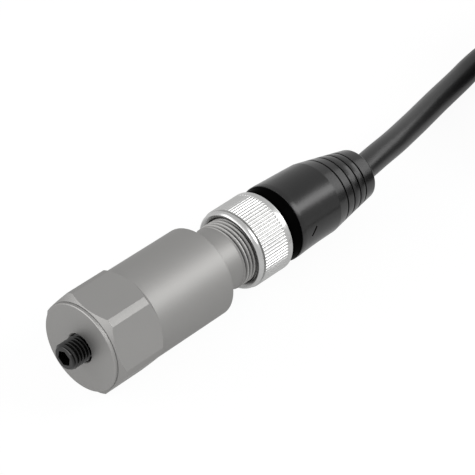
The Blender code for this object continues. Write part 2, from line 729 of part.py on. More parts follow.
def build_nut(axis):
    front = NUT_RADIUS - 0.0002
    drum = NUT_RADIUS - NUT_GROOVE_DEPTH
    ring_end = NUT_FRONT + NUT_FRONT_RING - NUT_GROOVE_WIDTH
    nut = turned("coupling_nut", [
        (0, NUT_REAR), (NUT_RADIUS - 0.0003, NUT_REAR), (NUT_RADIUS, NUT_REAR - 0.0003),
        (NUT_RADIUS, NUT_REAR - NUT_REAR_LIP), (drum, NUT_REAR - NUT_REAR_LIP),
        (drum, ring_end), (front, ring_end), (front, NUT_FRONT + 0.0006),
        (front - 0.0001, NUT_FRONT + 0.00025), (front - 0.0003, NUT_FRONT), (0, NUT_FRONT),
    ], NUT_STEPS, axis)
    teeth = knurled_band(
        "knurl", NUT_RADIUS - 0.00003, KNURL_DEPTH, NUT_FRONT + NUT_FRONT_RING,
        NUT_REAR - NUT_REAR_LIP + FIT_GAP, KNURL_COUNT, axis,
    )
    bore = turned("nut_bore_cutter", [
        (0, NUT_REAR + 0.001), (NUT_SEAT_RADIUS, NUT_REAR + 0.001),
        (NUT_SEAT_RADIUS, NUT_SEAT), (FLANGE_RADIUS + 4 * FIT_GAP, NUT_SEAT),
        (FLANGE_RADIUS + 4 * FIT_GAP, FLANGE_FRONT - CORD_GAP),
        (NUT_BORE_RADIUS, FLANGE_FRONT - CORD_GAP),
        (NUT_BORE_RADIUS, NUT_FRONT + NUT_MOUTH_CHAMFER),
        (NUT_BORE_RADIUS + NUT_MOUTH_CHAMFER, NUT_FRONT),
        (NUT_BORE_RADIUS + NUT_MOUTH_CHAMFER, NUT_FRONT - 0.001), (0, NUT_FRONT - 0.001),
    ], PLUG_STEPS, axis, cutters)
    boolean(nut, teeth, "UNION")
    boolean(nut, bore, "DIFFERENCE")
    bake(nut, nickel)


def build_coil(frame):
    half_width = COIL_COLUMNS * CABLE_DIAMETER / 2
    low = COIL_BOTTOM
    high = low + COIL_LAYERS * CABLE_DIAMETER
    inner = COIL_MEAN_RADIUS - half_width
    outer = COIL_MEAN_RADIUS + half_width
    section = rounded_rectangle((inner, low), (outer, high), 0.8 * CABLE_RADIUS, 2)
    coil = turned("cable_coil", section, PLUG_STEPS, frame)
    coil.location = (*COIL_CENTRE, 0)
    bake(coil, jacket)

    strap_low = (inner - CORD_GAP, low - CORD_GAP)
    strap_high = (outer + CORD_GAP, high + CORD_GAP)
    wall = TIE_THICKNESS
    hole = rounded_rectangle(strap_low, strap_high, 0.8 * CABLE_RADIUS)
    outside = rounded_rectangle(
        (strap_low[0] - wall, strap_low[1] - wall), (strap_high[0] + wall, strap_high[1] + wall),
        0.8 * CABLE_RADIUS + wall,
    )
    top = strap_high[1] + wall
    middle = COIL_MEAN_RADIUS
    right_corner = [p for p in outside if p[0] > middle]
    left_corner = [p for p in outside if p[0] <= middle]
    upper_right = [p for p in right_corner if p[1] > (low + high) / 2]
    lower_right = [p for p in right_corner if p[1] <= (low + high) / 2]
    head = [
        (middle + TIE_HEAD / 2, top), (middle + TIE_HEAD / 2, top + 2.5 * wall),
        (middle - TIE_HEAD / 2, top + 2.5 * wall), (middle - TIE_HEAD / 2, top),
    ]
    strap = [*upper_right, *head, *left_corner, *lower_right]
    for name, turn in (("coil_tie_front", -math.pi / 2), ("coil_tie_rear", math.pi / 2)):
        tie = flat_shape(name, [strap, hole], TIE_WIDTH, frame)
        tie.location = (*COIL_CENTRE, 0)
        tie.rotation_euler = (math.pi / 2, 0, turn)
        colour(tie, tie_plastic)


def build_cores(frame):
    core_radius = CORE_DIAMETER / 2
    ferrule = FERRULE_DIAMETER / 2
    bore = core_radius + CORD_GAP
    start = TAIL_ROUTE[-1][1] - CORD_GAP
    for name, (x, z), far_x, end, tint in CORES:
        look = material(f"core_{name}", tint, 0.45)
        route = [
            (x, start, z), (x + 0.1 * (far_x - x), start - 0.004, z - 0.1 * (z - CORE_HEIGHT)),
            (x + 0.6 * (far_x - x), (start + end) / 2, z - 0.75 * (z - CORE_HEIGHT)),
            (far_x, end + 0.0060, CORE_HEIGHT), (far_x, end, CORE_HEIGHT),
        ]
        points = smooth_route(route, 2.2 * CORE_DIAMETER)
        points[-2] = Vector((far_x, end + FERRULE_COLLAR, CORE_HEIGHT))
        colour(wire(f"core_{name}", points, CORE_DIAMETER, frame), look)
        pin = 0.6 * core_radius
        tip = turned(f"ferrule_{name}", [
            (bore, FERRULE_COLLAR), (ferrule, FERRULE_COLLAR), (ferrule, 0.0012),
            (core_radius + 0.0001, 0), (core_radius, -FERRULE_PIN), (pin, -FERRULE_PIN - 0.0003),
            (0, -FERRULE_PIN - 0.0003), (0, 0.0009), (bore, 0.0009),
        ], WIRE_STEPS, frame)
        tip.location = (far_x, end - 0.0012, CORE_HEIGHT)
        tip.rotation_euler = (-math.pi / 2, 0, 0)
        bake(tip, tin)


clear_scene()
parts = new_collection("vibration_sensor")
cutters = new_collection("cutters")
cutters.hide_render = True

steel = material("stainless_steel", (0.30, 0.295, 0.285), 0.38, 1.0)
dark_steel = material("dark_steel", (0.20, 0.195, 0.19), 0.35, 1.0)
nickel = material("nickel_plate", (0.72, 0.71, 0.69), 0.22, 1.0)
gloss_black = material("gloss_black_plastic", (0.012, 0.012, 0.012), 0.25)
black_plastic = material("black_plastic", (0.02, 0.02, 0.02), 0.5)
soft_black = material("soft_black_overmould", (0.03, 0.03, 0.03), 0.5)
jacket = material("cable_jacket", (0.02, 0.02, 0.02), 0.5)
rubber = material("seal_rubber", (0.01, 0.01, 0.01), 0.7)
gold = material("gold_plate", (0.80, 0.58, 0.24), 0.25, 1.0)
copper = material("copper", (0.72, 0.38, 0.24), 0.35, 1.0)
ceramic = material("ceramic", (0.85, 0.83, 0.78), 0.5)
piezo = material("piezo_ceramic", (0.42, 0.36, 0.24), 0.6)
tungsten = material("tungsten", (0.28, 0.27, 0.26), 0.35, 1.0)
laminate = material("board_laminate", (0.03, 0.20, 0.09), 0.45)
tie_plastic = material("tie_plastic", (0.03, 0.03, 0.03), 0.4)
tin = material("tin_plate", (0.65, 0.65, 0.64), 0.3, 1.0)

object_frame = empty("object_frame", location=(0, -MIDDLE, AXIS_HEIGHT))
sensor_axis = empty("sensor_axis", object_frame, turn=-math.pi / 2)
plug_axis = empty("plug_axis", sensor_axis)
nut_axis = empty("nut_axis", plug_axis)

build_housing(sensor_axis)
build_base(sensor_axis)
build_stack(sensor_axis)
build_connector(sensor_axis)
build_plug(plug_axis)
build_overmould(plug_axis)
build_nut(nut_axis)
colour(wire("cable", smooth_route(CABLE_ROUTE, 1.5 * CABLE_DIAMETER), CABLE_DIAMETER,
            object_frame, 4), jacket)
colour(wire("cable_tail", smooth_route(TAIL_ROUTE, 1.5 * CABLE_DIAMETER), CABLE_DIAMETER,
            object_frame, 4), jacket)
build_coil(object_frame)
build_cores(object_frame)
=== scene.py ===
"""Vibration sensor with its screw-on cable plug: visual model, materials and studio."""

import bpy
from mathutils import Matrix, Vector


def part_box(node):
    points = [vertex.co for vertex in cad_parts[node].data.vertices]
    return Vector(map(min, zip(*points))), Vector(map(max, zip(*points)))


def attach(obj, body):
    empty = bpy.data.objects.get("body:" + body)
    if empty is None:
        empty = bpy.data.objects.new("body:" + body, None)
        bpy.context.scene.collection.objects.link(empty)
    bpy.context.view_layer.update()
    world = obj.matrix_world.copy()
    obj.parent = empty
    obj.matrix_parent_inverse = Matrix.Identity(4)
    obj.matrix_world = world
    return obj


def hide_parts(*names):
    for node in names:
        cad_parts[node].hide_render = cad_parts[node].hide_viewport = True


bl_info = {
    "name": "Vibration Sensor",
    "version": (1, 0, 0),
    "blender": (4, 5, 0),
    "location": "3D Viewport > Sidebar > Sensor",
    "description": "Builds a steel vibration sensor, its knurled plug and its coiled cable",
    "category": "Object",
}

import math

import bmesh
import bpy
from mathutils import Euler, Matrix, Vector

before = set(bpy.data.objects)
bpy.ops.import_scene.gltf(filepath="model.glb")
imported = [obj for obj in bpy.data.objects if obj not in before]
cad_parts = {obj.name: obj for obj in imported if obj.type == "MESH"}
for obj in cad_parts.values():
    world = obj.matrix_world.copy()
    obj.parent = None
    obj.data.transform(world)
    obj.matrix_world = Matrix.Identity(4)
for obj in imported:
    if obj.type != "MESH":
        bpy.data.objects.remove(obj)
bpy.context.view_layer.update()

MM = 0.001
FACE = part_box("base_plate")[0][1]
AXIS = (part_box("housing")[0][2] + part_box("housing")[1][2]) / 2
# Turned pieces are drawn with Z as their axis from the mounting face, then laid along +Y.
LAID = Matrix.Translation((0, FACE, AXIS)) @ Matrix.Rotation(-math.pi / 2, 4, "X")
# The way the grip's tail hangs, in that drawing: to the side, and down once it is laid.
SAG_SIDE = Vector((0.829, 0.559, 0))
LARGE_FACETS = 128
SMALL_FACETS = 96
MERGE_DISTANCE = 1e-7
PLANE_DISTANCE = 1e-8


def length(name, description, default):
    return bpy.props.FloatProperty(
        name=name, description=description, default=default, min=0, unit="LENGTH", precision=5,
    )


def colour(name, description, default):
    return bpy.props.FloatVectorProperty(
        name=name, description=description, default=default, size=3, min=0, max=1,
        subtype="COLOR",
    )


class SensorSizes(bpy.types.PropertyGroup):
    across_flats: length("Across flats", "Hexagon width across its flats", 0.0165)
    corner_diameter: length("Corner diameter", "Diameter the hexagon's corners are turned to", 0.0183)
    body_diameter: length("Body diameter", "Diameter of the round body", 0.0164)
    neck_diameter: length("Neck diameter", "Diameter of the neck behind the body", 0.0115)
    nose_diameter: length("Nose diameter", "Outside diameter of the connector thread", 0.0119)
    nose_pitch: length("Nose pitch", "Pitch of the connector thread", 0.00083)
    stud_diameter: length("Stud diameter", "Outside diameter of the mounting stud", 0.00475)
    stud_pitch: length("Stud pitch", "Pitch of the mounting stud's thread", 0.00068)
    stud_reach: length("Stud reach", "How far the stud stands out of the face", 0.0035)


class PlugSizes(bpy.types.PropertyGroup):
    nut_diameter: length("Nut diameter", "Diameter of the coupling nut over its lip", 0.0149)
    knurl_depth: length("Knurl depth", "Depth of the grooves of the knurl", 0.00019)
    knurl_count: bpy.props.IntProperty(
        name="Knurl count", description="Grooves round the coupling nut", default=76, min=12,
    )
    grip_diameter: length("Grip diameter", "Largest diameter of the moulded grip", 0.0144)
    sag: length("Sag", "How far the tail of the grip hangs off the axis", 0.0006)


class CableSizes(bpy.types.PropertyGroup):
    diameter: length("Diameter", "Outside diameter of the cable's jacket", 0.0049)
    stated_length: length("Length", "Length of the cable from the plug to its cut end", 2.0)
    core_diameter: length("Core diameter", "Diameter of an insulated core", 0.00125)


class Finishes(bpy.types.PropertyGroup):
    steel: colour("Steel", "Turned stainless steel of the body", (0.335, 0.331, 0.324))
    nickel: colour("Nickel", "Plating of the coupling nut", (0.545, 0.545, 0.54))
    stud: colour("Stud", "Blackened steel of the mounting stud", (0.002, 0.002, 0.002))
    grip: colour("Grip", "Soft moulding of the grip", (0.008, 0.008, 0.008))
    jacket: colour("Jacket", "Jacket of the cable", (0.017, 0.017, 0.017))


# Materials: node groups that the finishes share, then the finishes.


def node(tree, kind, values=(), **settings):
    """A new node with its settings, and the values of its unlinked inputs as a dictionary."""
    made = tree.nodes.new(kind)
    for name, value in settings.items():
        setattr(made, name, value)
    for socket, value in dict(values).items():
        made.inputs[socket].default_value = value
    return made


def new_group(name, inputs, outputs):
    """An empty shader group with named sockets, its input and its output node."""
    tree = bpy.data.node_groups.new(name, "ShaderNodeTree")
    for label, kind, value in inputs:
        socket = tree.interface.new_socket(label, in_out="INPUT", socket_type=kind)
        if value is not None:
            socket.default_value = value
    for label, kind in outputs:
        tree.interface.new_socket(label, in_out="OUTPUT", socket_type=kind)
    return tree, node(tree, "NodeGroupInput"), node(tree, "NodeGroupOutput")


def make_mottle_group():
    """Soft cloudy variation of a colour, and a value that follows it."""
    tree, given, out = new_group(
        "soft_mottle",
        [("Vector", "NodeSocketVector", None), ("Colour", "NodeSocketColor", (1, 1, 1, 1)),
         ("Scale", "NodeSocketFloat", 300.0), ("Amount", "NodeSocketFloat", 0.1)],
        [("Colour", "NodeSocketColor"), ("Value", "NodeSocketFloat")],
    )
    noise = node(tree, "ShaderNodeTexNoise", {"Detail": 3.0}, noise_dimensions="3D")
    centred = node(tree, "ShaderNodeMath", {1: 0.5}, operation="SUBTRACT")
    scaled = node(tree, "ShaderNodeMath", {2: 1.0}, operation="MULTIPLY_ADD")
    tint = node(tree, "ShaderNodeVectorMath", operation="SCALE")
    link = tree.links.new
    link(given.outputs["Vector"], noise.inputs["Vector"])
    link(given.outputs["Scale"], noise.inputs["Scale"])
    link(noise.outputs["Fac"], centred.inputs[0])
    link(centred.outputs[0], scaled.inputs[0])
    link(given.outputs["Amount"], scaled.inputs[1])
    link(given.outputs["Colour"], tint.inputs[0])
    link(scaled.outputs[0], tint.inputs["Scale"])
    link(tint.outputs[0], out.inputs["Colour"])
    link(noise.outputs["Fac"], out.inputs["Value"])
    return tree


def from_axis(tree, vector):
    """The offset of a point from the sensor's axis, and its distance from the axis."""
    centre = node(tree, "ShaderNodeVectorMath", {1: (0, 0, AXIS)}, operation="SUBTRACT")
    flat = node(tree, "ShaderNodeVectorMath", {1: (1, 0, 1)}, operation="MULTIPLY")
    radius = node(tree, "ShaderNodeVectorMath", operation="LENGTH")
    tree.links.new(vector, centre.inputs[0])
    tree.links.new(centre.outputs[0], flat.inputs[0])
    tree.links.new(flat.outputs[0], radius.inputs[0])
    return centre.outputs[0], radius.outputs["Value"]


def make_lathe_group():
    """Fine rings that a lathe leaves, along the axis on round faces and across end faces."""
    radius_share = 1.37
    tree, given, out = new_group(
        "lathe_rings",
        [("Vector", "NodeSocketVector", None), ("Spacing", "NodeSocketFloat", 9000.0)],
        [("Value", "NodeSocketFloat")],
    )
    offset, radius = from_axis(tree, given.outputs["Vector"])
    parts = node(tree, "ShaderNodeSeparateXYZ")
    place = node(tree, "ShaderNodeMath", {1: radius_share}, operation="MULTIPLY_ADD")
    rings = node(tree, "ShaderNodeTexNoise", {"Detail": 2.0}, noise_dimensions="1D")
    link = tree.links.new
    link(offset, parts.inputs[0])
    link(radius, place.inputs[0])
    link(parts.outputs["Y"], place.inputs[2])
    link(place.outputs[0], rings.inputs["W"])
    link(given.outputs["Spacing"], rings.inputs["Scale"])
    link(rings.outputs["Fac"], out.inputs["Value"])
    return tree


def make_reach_group():
    """Rises from 0 to 1 between two distances from the sensor's axis."""
    tree, given, out = new_group(
        "axis_reach",
        [("Vector", "NodeSocketVector", None), ("Near", "NodeSocketFloat", 0.005),
         ("Far", "NodeSocketFloat", 0.006)],
        [("Value", "NodeSocketFloat")],
    )
    radius = from_axis(tree, given.outputs["Vector"])[1]
    span = node(tree, "ShaderNodeMapRange", interpolation_type="SMOOTHSTEP")
    link = tree.links.new
    link(radius, span.inputs["Value"])
    link(given.outputs["Near"], span.inputs["From Min"])
    link(given.outputs["Far"], span.inputs["From Max"])
    link(span.outputs[0], out.inputs["Value"])
    return tree


def make_grain_group():
    """The fine pebbled surface of a moulded part, as a height."""
    tree, given, out = new_group(
        "mould_grain",
        [("Vector", "NodeSocketVector", None), ("Scale", "NodeSocketFloat", 4000.0)],
        [("Height", "NodeSocketFloat")],
    )
    fine = node(tree, "ShaderNodeTexNoise", {"Detail": 2.0}, noise_dimensions="3D")
    cells = node(tree, "ShaderNodeTexVoronoi", feature="SMOOTH_F1")
    both = node(tree, "ShaderNodeMath", operation="ADD")
    link = tree.links.new
    for texture in (fine, cells):
        link(given.outputs["Vector"], texture.inputs["Vector"])
        link(given.outputs["Scale"], texture.inputs["Scale"])
    link(fine.outputs["Fac"], both.inputs[0])
    link(cells.outputs["Distance"], both.inputs[1])
    link(both.outputs[0], out.inputs["Height"])
    return tree


class Finish:
    """One Principled material under construction, reading Object coordinates."""
    least_roughness = 0.02
    root_fade = 0.25 * MM
    crest_fade = 0.15 * MM

    def __init__(self, name, base, roughness, metallic=0.0, specular=0.5, edge=1.0, ior=1.5):
        self.material = bpy.data.materials.new(name)
        self.material.use_nodes = True
        self.tree = self.material.node_tree
        self.shader = self.tree.nodes["Principled BSDF"]
        for socket, value in {
            "Base Color": (*base, 1), "Roughness": roughness, "Metallic": metallic, "IOR": ior,
            "Specular IOR Level": specular, "Specular Tint": (edge, edge, edge, 1),
        }.items():
            self.shader.inputs[socket].default_value = value
        self.base = base
        self.roughness = roughness
        self.place = node(self.tree, "ShaderNodeTexCoord").outputs["Object"]
        self.link = self.tree.links.new
        self.material.diffuse_color = (*base, 1)

    def group(self, name, **values):
        shared = bpy.data.node_groups[name]
        made = node(self.tree, "ShaderNodeGroup", values, node_tree=shared)
        self.link(self.place, made.inputs["Vector"])
        return made

    def mottle(self, scale, amount, swing=0.0):
        """Clouds in the colour, and in the roughness where a swing is given."""
        cloud = self.group("soft_mottle", Colour=(*self.base, 1), Scale=scale, Amount=amount)
        self.link(cloud.outputs["Colour"], self.shader.inputs["Base Color"])
        if swing:
            self.vary_roughness(cloud.outputs["Value"], swing)
        return self

    def vary_roughness(self, value, swing):
        """Lets the roughness swing either way about its own value."""
        low, high = max(self.least_roughness, self.roughness - swing), self.roughness + swing
        span = node(self.tree, "ShaderNodeMapRange", {"To Min": low, "To Max": high})
        self.link(value, span.inputs["Value"])
        self.link(span.outputs[0], self.shader.inputs["Roughness"])

    def bump(self, value, depth):
        raised = node(self.tree, "ShaderNodeBump", {"Distance": depth})
        self.link(value, raised.inputs["Height"])
        self.link(raised.outputs[0], self.shader.inputs["Normal"])
        return self

    def blend(self, mask, tint):
        """Lets another colour take over the mottled one where the mask is 1."""
        mix = node(self.tree, "ShaderNodeMix", {"B": (*tint, 1)}, data_type="RGBA")
        base = self.shader.inputs["Base Color"]
        self.link(base.links[0].from_socket, mix.inputs["A"])
        self.link(mask, mix.inputs["Factor"])
        self.link(mix.outputs["Result"], base)
        return self

    def painted_thread_shade_and_highlight(self, root, crest, first, last, root_painted_shade, light):
        """Painted shade in the roots and a painted highlight on the crests of a thread, between two
        stations along the axis.
        """
        parts = node(self.tree, "ShaderNodeSeparateXYZ")
        self.link(self.place, parts.inputs[0])
        middle, half = FACE + (first + last) / 2, (last - first) / 2
        inside = node(self.tree, "ShaderNodeMath", {1: middle, 2: half}, operation="COMPARE")
        self.link(parts.outputs["Y"], inside.inputs[0])
        risen = self.group("axis_reach", Near=root, Far=root + self.root_fade)
        low = node(self.tree, "ShaderNodeMath", {0: 1}, operation="SUBTRACT")
        self.link(risen.outputs["Value"], low.inputs[1])
        high = self.group("axis_reach", Near=crest - self.crest_fade, Far=crest)
        for share, tint in ((low.outputs[0], root_painted_shade), (high.outputs["Value"], light)):
            both = node(self.tree, "ShaderNodeMath", operation="MULTIPLY")
            self.link(inside.outputs[0], both.inputs[0])
            self.link(share, both.inputs[1])
            self.blend(both.outputs[0], tint)
        return self

    def painted_crest_highlight(self, near, far, tint):
        """Painted highlight: a lighter tone that comes in between two distances from the axis."""
        reach = self.group("axis_reach", Near=near, Far=far)
        return self.blend(reach.outputs["Value"], tint)

    def rings(self, spacing, depth, swing):
        """Lathe rings in the height and in the roughness."""
        lathe = self.group("lathe_rings", Spacing=spacing)
        self.vary_roughness(lathe.outputs["Value"], swing)
        return self.bump(lathe.outputs["Value"], depth)

    def grain(self, scale, depth):
        pebbles = self.group("mould_grain", Scale=scale)
        return self.bump(pebbles.outputs["Height"], depth)


# Name, colour, roughness, metallic, then the mottle's scale, amount and swing of the roughness,
# and the grain's scale and depth.
PLAIN_FINISHES = {
    "tie": ("tie_nylon", (0.025, 0.025, 0.025), 0.35, 0, (500, 0.15, 0.05), (2500, 0.000004)),
    "rubber": ("seal_rubber", (0.012, 0.012, 0.012), 0.62, 0, (600, 0.2, 0.06), (5000, 0.000003)),
    "tin": ("ferrule_tin", (0.62, 0.62, 0.60), 0.32, 1, (900, 0.08, 0.06), (7000, 0.000002)),
    "copper": ("copper", (0.72, 0.38, 0.24), 0.34, 1, (700, 0.12, 0.06), (6000, 0.000002)),
    "ceramic": ("white_ceramic", (0.85, 0.83, 0.78), 0.5, 0, (700, 0.05, 0.05), (4000, 0.000003)),
    "piezo": ("piezo_ceramic", (0.42, 0.36, 0.24), 0.6, 0, (900, 0.12, 0.05), (5000, 0.000004)),
    "laminate": ("board_laminate", (0.03, 0.20, 0.09), 0.42, 0, (1200, 0.2, 0.05), (3500, 0.000004)),
    "insert": ("insert_plastic", (0.02, 0.02, 0.02), 0.48, 0, (600, 0.15, 0.05), (3500, 0.000004)),
}


def make_finishes(tones):
    make_mottle_group()
    make_lathe_group()
    make_grain_group()
    make_reach_group()
    # The front plate's steel is the body's steel painted lighter by this gain, as painted light; its
    # face-turned finish is also a little smoother.
    painted_light_gain = 1.08
    face_tone_painted_lighter = [painted_light_gain * tone for tone in tones.steel]
    made = {
        # The steel's nose thread is painted darker in its roots as painted shade, and lighter on its
        # crests as a painted highlight.
        "steel": Finish("turned_steel", tones.steel, roughness=0.56, metallic=1.0, edge=0.75)
        .mottle(scale=160, amount=0.05).rings(spacing=9000, depth=0.000002, swing=0.04)
        .painted_thread_shade_and_highlight(
            root=0.0055, crest=0.0059, first=0.0331, last=0.0403,
            root_painted_shade=(0.14, 0.14, 0.14), light=(0.50, 0.495, 0.485),
        ),
        # Painted lighter copy of the steel for the front plate, with its own smoother face-turned
        # roughness.
        "faced_steel_painted_lighter": Finish("faced_steel_painted_lighter", face_tone_painted_lighter, roughness=0.52, metallic=1.0, edge=0.75)
        .mottle(scale=160, amount=0.05).rings(spacing=9000, depth=0.000002, swing=0.04),
        "nickel": Finish("bright_nickel", tones.nickel, roughness=0.26, metallic=1.0, edge=0.9)
        .mottle(scale=260, amount=0.04).rings(spacing=5000, depth=0.0000015, swing=0.04),
        # The blackened steel's lighter crests are a painted highlight.
        "black_steel": Finish("blackened_steel", tones.stud, roughness=0.20)
        .mottle(scale=900, amount=0.3, swing=0.04).grain(scale=6000, depth=0.000001)
        .painted_crest_highlight(near=0.00229, far=0.00236, tint=(0.008, 0.008, 0.008)),
        "grip": Finish("moulded_grip", tones.grip, roughness=0.24, specular=0.40)
        .mottle(scale=220, amount=0.15, swing=0.05).grain(scale=5200, depth=0.000004),
        "collar": Finish(
            "black_collar", (0.0015, 0.0015, 0.0015), roughness=0.30, specular=0.01, ior=1.15,
        ).mottle(scale=400, amount=0.2).grain(scale=3000, depth=0.000001),
        "jacket": Finish("cable_jacket", tones.jacket, roughness=0.34, specular=0.46)
        .mottle(scale=300, amount=0.15, swing=0.04).grain(scale=4200, depth=0.000004),
        "gold": Finish("contact_gold", (0.80, 0.58, 0.24), roughness=0.24, metallic=1.0)
        .mottle(scale=800, amount=0.08).rings(spacing=12000, depth=0.000002, swing=0.04),
        "mass": Finish("tungsten_mass", (0.28, 0.27, 0.26), roughness=0.36, metallic=1.0)
        .mottle(scale=500, amount=0.08).rings(spacing=7000, depth=0.000003, swing=0.05),
    }
    for key, (name, base, roughness, metallic, cloud, pebbles) in PLAIN_FINISHES.items():
        made[key] = Finish(name, base, roughness, metallic).mottle(*cloud).grain(*pebbles)
    return {key: finish.material for key, finish in made.items()}


# The materials by their short names. main fills this in before the operators run.
finishes = {}


# Helpers that turn, cut and place a mesh.


def rounded(outline, closed, arc_steps=4):
    """(radius, station, fillet) corners in millimetres, as metres with each corner rounded."""
    points = []
    count = len(outline)
    for index, corner in enumerate(outline):
        here = Vector(corner[:2])
        fillet = corner[2] if len(corner) > 2 else 0
        if not fillet or (not closed and index in (0, count - 1)):
            points.append(here)
            continue
        before = (Vector(outline[index - 1][:2]) - here).normalized()
        after = (Vector(outline[(index + 1) % count][:2]) - here).normalized()
        half = before.angle(after) / 2
        back = fillet / math.tan(half)
        middle = here + (before + after).normalized() * (fillet / math.sin(half))
        first = here + before * back - middle
        last = here + after * back - middle
        turn = first.angle_signed(last)
        for step in range(arc_steps + 1):
            spun = Matrix.Rotation(-turn * step / arc_steps, 2) @ first
            points.append(middle + spun)
    return [(p.x * MM, p.y * MM) for p in points]


def spin_outline(build, outline, steps):
    """Turns an (r, z) outline a full circle about Z. It is open when it ends on the axis."""
    closed = outline[0][0] > 0
    verts = [build.verts.new((radius, 0, station)) for radius, station in outline]
    edges = [build.edges.new(pair) for pair in zip(verts, verts[1:])]
    if closed:
        edges.append(build.edges.new((verts[-1], verts[0])))
    bmesh.ops.spin(
        build, geom=verts + edges, cent=(0, 0, 0), axis=(0, 0, 1), dvec=(0, 0, 0),
        angle=2 * math.pi, steps=steps, use_merge=True, use_duplicate=False,
    )
    bmesh.ops.remove_doubles(build, verts=build.verts, dist=MERGE_DISTANCE)
    bmesh.ops.recalc_face_normals(build, faces=build.faces)


def from_face(point):
    """A place given in millimetres from the mounting face, in metres in the scene."""
    return Vector((point[0] * MM, point[1] * MM + FACE, point[2] * MM + AXIS))


def place_mesh(build, matrix=LAID):
    """Moves what was drawn about Z to its place, by default onto the sensor's axis."""
    bmesh.ops.transform(build, matrix=matrix, verts=build.verts)


def to_mesh(name, build):
    """The bmesh as a mesh. The bmesh is used up."""
    mesh = bpy.data.meshes.new(name)
    build.to_mesh(mesh)
    build.free()
    return mesh


def to_scene(name, data):
    """A new object in the scene that shows the data."""
    made = bpy.data.objects.new(name, data)
    bpy.context.scene.collection.objects.link(made)
    return made


def finish_mesh(name, build, look, body, replaced, sharp=32.0):
    return finish_object(name, to_mesh(name, build), look, body, replaced, sharp)


def finish_object(name, data, look, body, replaced, sharp=32.0):
    """Makes the object, shades it, and hands it to its body and the nodes it stands for."""
    piece = to_scene(name, data)
    data.materials.append(look)
    if isinstance(data, bpy.types.Mesh):
        data.shade_smooth()
        data.set_sharp_from_angle(angle=math.radians(sharp))
        evened = piece.modifiers.new("even_shading", "WEIGHTED_NORMAL")
        evened.keep_sharp = True
    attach(piece, body)
    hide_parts(*replaced)
    return piece


def helix_cutter(diameter, pitch, depth, low, high, steps_per_turn):
    """A closed right-hand ridge with slanted flanks, as a bmesh along Z."""
    flank = math.radians(30)
    margin = 0.1 * depth
    root_half = 0.09 * pitch
    mouth_half = root_half + (depth + margin) * math.tan(flank)
    inner = diameter / 2 - depth
    outer = diameter / 2 + margin
    build = bmesh.new()
    corners = [
        build.verts.new((radius, 0, station)) for radius, station in (
            (inner, low - root_half), (inner, low + root_half),
            (outer, low + mouth_half), (outer, low - mouth_half),
        )
    ]
    start = build.faces.new(corners)
    count = round(steps_per_turn * (high - low) / pitch)
    bmesh.ops.spin(
        build, geom=[start, *start.edges, *start.verts], cent=(0, 0, 0), axis=(0, 0, 1),
        dvec=(0, 0, pitch / steps_per_turn), angle=2 * math.pi * count / steps_per_turn,
        steps=count, use_merge=False, use_duplicate=False,
    )
    bmesh.ops.holes_fill(build, edges=[e for e in build.edges if e.is_boundary], sides=4)
    bmesh.ops.recalc_face_normals(build, faces=build.faces)
    return build


def cut(build, *cutters):
    """The bmesh with each cutter bmesh taken away, as a new bmesh."""
    target = to_scene("workpiece", to_mesh("workpiece", build))
    tools = [to_scene("cutter", to_mesh("cutter", cutter)) for cutter in cutters]
    for tool in tools:
        change = target.modifiers.new("cut", "BOOLEAN")
        change.operation = "DIFFERENCE"
        change.solver = "EXACT"
        change.object = tool
    graph = bpy.context.evaluated_depsgraph_get()
    result = bpy.data.meshes.new_from_object(target.evaluated_get(graph))
    made = bmesh.new()
    made.from_mesh(result)
    for used in (target, *tools):
        mesh = used.data
        bpy.data.objects.remove(used)
        bpy.data.meshes.remove(mesh)
    bpy.data.meshes.remove(result)
    return made


# Pieces of the sensor.


class BuildBody(bpy.types.Operator):
    """Machine the steel body: hexagon, round body, neck and threaded nose"""
    bl_idname = "sensor.build_body"
    bl_label = "Body"

    def execute(self, context):
        sizes = context.scene.sensor_sizes
        corner = sizes.corner_diameter / 2 / MM
        body = sizes.body_diameter / 2 / MM
        neck = sizes.neck_diameter / 2 / MM
        nose = sizes.nose_diameter / 2 / MM
        face, nose_tip = 8.1, nose - 0.4
        chamber, passage, mouth = 6.7, 4.7, 4.35
        face_back, bevel_end, hexagon_end, body_start = 0.64, 1.5, 9.7, 10.7
        chamber_end, shoulder, neck_end, mouth_start = 26.6, 27.6, 32.6, 33.5
        thread_start, thread_end, nose_end = 32.8, 40.2, 40.6
        build = bmesh.new()
        spin_outline(build, rounded([
            (chamber, face_back), (face, face_back, 0.03), (corner, bevel_end),
            (corner, hexagon_end), (body, body_start), (body, shoulder, 0.3),
            (neck, shoulder, 0.12), (neck, neck_end, 0.1), (nose, thread_start),
            (nose, thread_end), (nose_tip, nose_end), (mouth, nose_end, 0.1),
            (mouth, mouth_start), (passage, mouth_start), (passage, chamber_end),
            (chamber, chamber_end),
        ], closed=True), LARGE_FACETS)
        self.mill_flats(build, sizes.across_flats / 2)
        groove_depth, first_turn, last_turn = 0.44, 32.95, 41.6
        groove = helix_cutter(
            sizes.nose_diameter, sizes.nose_pitch, groove_depth * MM,
            first_turn * MM, last_turn * MM, steps_per_turn=64,
        )
        thread_angle = math.radians(205)
        bmesh.ops.rotate(
            groove, matrix=Matrix.Rotation(thread_angle, 3, "Z"), verts=groove.verts,
        )
        build = cut(build, groove)
        place_mesh(build)
        finish_mesh("steel_body", build, finishes["steel"], "sensor", ["housing"], sharp=24.0)
        return {"FINISHED"}

    @staticmethod
    def mill_flats(build, apothem):
        """Cuts the six flats: each plane takes off what lies outside it, and is closed."""
        first_flat, between_flats = 30, 60
        for side in range(6):
            angle = math.radians(first_flat + between_flats * side)
            outward = Vector((math.cos(angle), math.sin(angle), 0))
            bmesh.ops.bisect_plane(
                build, geom=[*build.verts, *build.edges, *build.faces], dist=PLANE_DISTANCE,
                plane_co=outward * apothem, plane_no=outward, clear_outer=True,
            )
            rim = [edge for edge in build.edges if edge.is_boundary]
            bmesh.ops.holes_fill(build, edges=rim, sides=0)
        bmesh.ops.recalc_face_normals(build, faces=build.faces)


